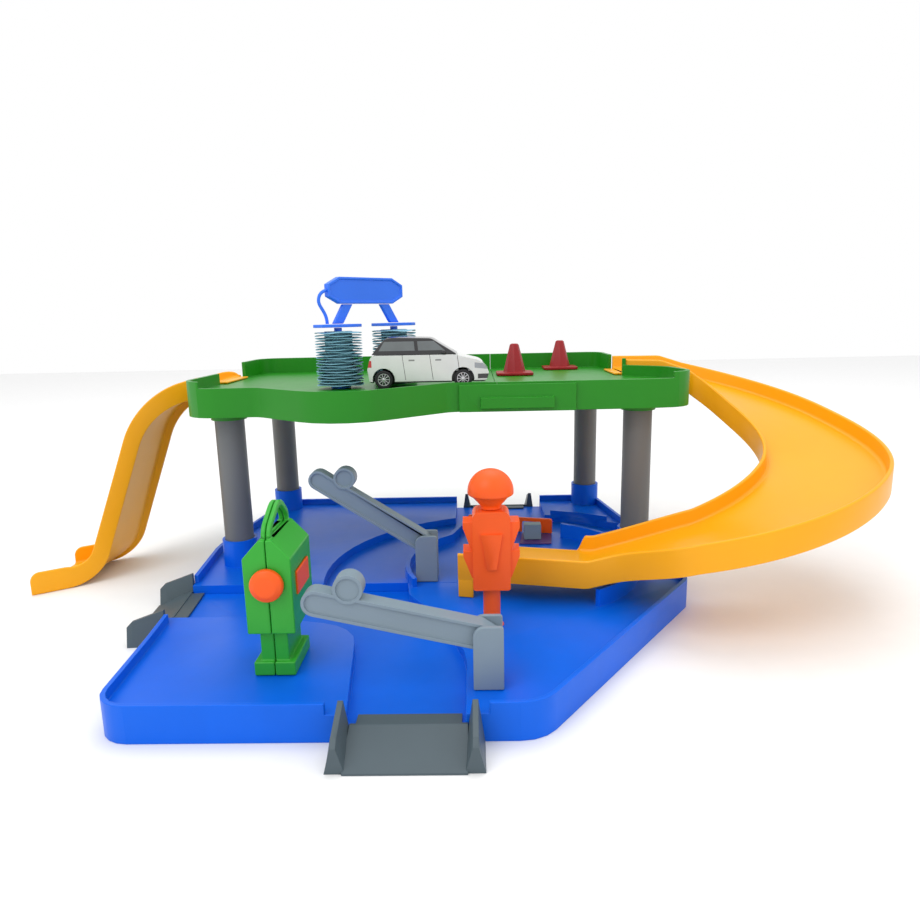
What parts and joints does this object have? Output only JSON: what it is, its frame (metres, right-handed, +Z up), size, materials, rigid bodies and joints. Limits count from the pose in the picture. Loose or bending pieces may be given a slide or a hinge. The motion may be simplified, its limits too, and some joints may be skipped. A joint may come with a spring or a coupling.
{
  "type": "playset",
  "caption": "Two-level toy garage with a tray base, pillars, parking deck, S slide, spiral ramp, barrier gates, car wash, fuel pump, traffic light and a small car",
  "frame": {"origin": "middle of the round foot under the court, on the ground", "axes": "+X to the right of the front view, +Y to the back, +Z up"},
  "size_m": [0.5462, 0.3865, 0.203],
  "materials": {
    "blue_plastic": "bright blue moulded plastic, soft sheen",
    "green_plastic": "grass green moulded plastic, soft sheen",
    "yellow_plastic": "golden yellow moulded plastic, soft sheen",
    "orange_plastic": "orange moulded plastic, soft sheen",
    "pillar_grey": "warm grey satin plastic",
    "gate_grey": "cool light grey satin plastic",
    "dark_grey": "dark grey satin plastic",
    "brush_blue": "pale blue soft ribbed plastic",
    "wash_blue": "light blue moulded plastic",
    "cone_red": "crimson satin plastic",
    "label_purple": "bare purple label",
    "car_white": "white lacquered shell",
    "car_black": "black gloss",
    "tyre_black": "black hard plastic tyre",
    "axle_steel": "plain steel wire"
  },
  "bodies": {
    "garage": {"base_front": "blue_plastic", "base_back": "blue_plastic", "pillar_front_left": "pillar_grey", "pillar_front_right": "pillar_grey", "pillar_back_left": "pillar_grey", "pillar_back_right": "pillar_grey", "deck_left": "green_plastic", "deck_right": "green_plastic", "front_panel": "green_plastic", "slide": "yellow_plastic", "spiral_ramp": "yellow_plastic", "ramp_front": "dark_grey", "ramp_left": "dark_grey", "ramp_back": "dark_grey", "gate_front_post": "gate_grey", "gate_front_pin": "gate_grey", "gate_back_post": "gate_grey", "gate_back_pin": "gate_grey", "signal_post": "orange_plastic", "pump_shell_left": "green_plastic", "pump_shell_right": "green_plastic", "pump_screen": "orange_plastic", "wash_spindle_left": "wash_blue", "wash_spindle_right": "wash_blue", "wash_plate_left": "wash_blue", "wash_plate_right": "wash_blue", "wash_leg_left": "wash_blue", "wash_leg_right": "wash_blue", "wash_sign": "wash_blue", "wash_hose": "wash_blue", "arch_gate": "orange_plastic", "window_block": "gate_grey", "court_pad": "label_purple"},
    "gate_front": {"gate_front_arm": "gate_grey"},
    "gate_back": {"gate_back_arm": "gate_grey"},
    "signal_head": {"signal_body": "orange_plastic", "signal_cap": "orange_plastic"},
    "knob": {"pump_knob": "orange_plastic"},
    "brush_left": {"wash_brush_left": "brush_blue"},
    "brush_right": {"wash_brush_right": "brush_blue"},
    "cone_near": {"cone_near": "cone_red"},
    "cone_far": {"cone_far": "cone_red"},
    "car": {"car_body": "car_white", "car_cabin": "car_black", "car_chassis": "car_black"},
    "car_rear_wheels": {"car_axle_rear": "axle_steel", "car_wheel_rear_near": "tyre_black", "car_wheel_rear_far": "tyre_black"},
    "car_front_wheels": {"car_axle_front": "axle_steel", "car_wheel_front_near": "tyre_black", "car_wheel_front_far": "tyre_black"}
  },
  "joints": [
    {"name": "gate_front_pivot", "type": "hinge", "parent": "garage", "child": "gate_front", "pos_m": [0.0235, -0.1655, 0.0361], "axis": [0, 1, 0], "range_deg": [-13, 75]},
    {"name": "gate_back_pivot", "type": "hinge", "parent": "garage", "child": "gate_back", "pos_m": [-0.0123, -0.0349, 0.0361], "axis": [0, 1, 0], "range_deg": [-33, 29]},
    {"name": "signal_turn", "type": "hinge", "parent": "garage", "child": "signal_head", "pos_m": [0.0264, -0.1045, 0.0352], "axis": [0, 0, 1], "continuous": true},
    {"name": "knob_turn", "type": "hinge", "parent": "garage", "child": "knob", "pos_m": [-0.0764, -0.1593, 0.059], "axis": [0, 1, 0], "continuous": true},
    {"name": "brush_left_turn", "type": "hinge", "parent": "garage", "child": "brush_left", "pos_m": [-0.0693, 0.006, 0.15], "axis": [0, 0, 1], "continuous": true},
    {"name": "brush_right_turn", "type": "hinge", "parent": "garage", "child": "brush_right", "pos_m": [-0.0364, 0.039, 0.15], "axis": [0, 0, 1], "continuous": true},
    {"name": "cone_near_lift", "type": "slide", "parent": "garage", "child": "cone_near", "axis": [0, 0, 1], "range_m": [0, 0.06]},
    {"name": "cone_far_lift", "type": "slide", "parent": "garage", "child": "cone_far", "axis": [0, 0, 1], "range_m": [0, 0.06]},
    {"name": "car_lift", "type": "slide", "parent": "garage", "child": "car", "axis": [0, 0, 1], "range_m": [0, 0.03]},
    {"name": "rear_axle", "type": "hinge", "parent": "car", "child": "car_rear_wheels", "pos_m": [-0.0388, 0.00555, 0.1375], "axis": [0, 1, 0], "continuous": true},
    {"name": "front_axle", "type": "hinge", "parent": "car", "child": "car_front_wheels", "pos_m": [0.012, 0.00555, 0.1375], "axis": [0, 1, 0], "continuous": true}
  ]
}
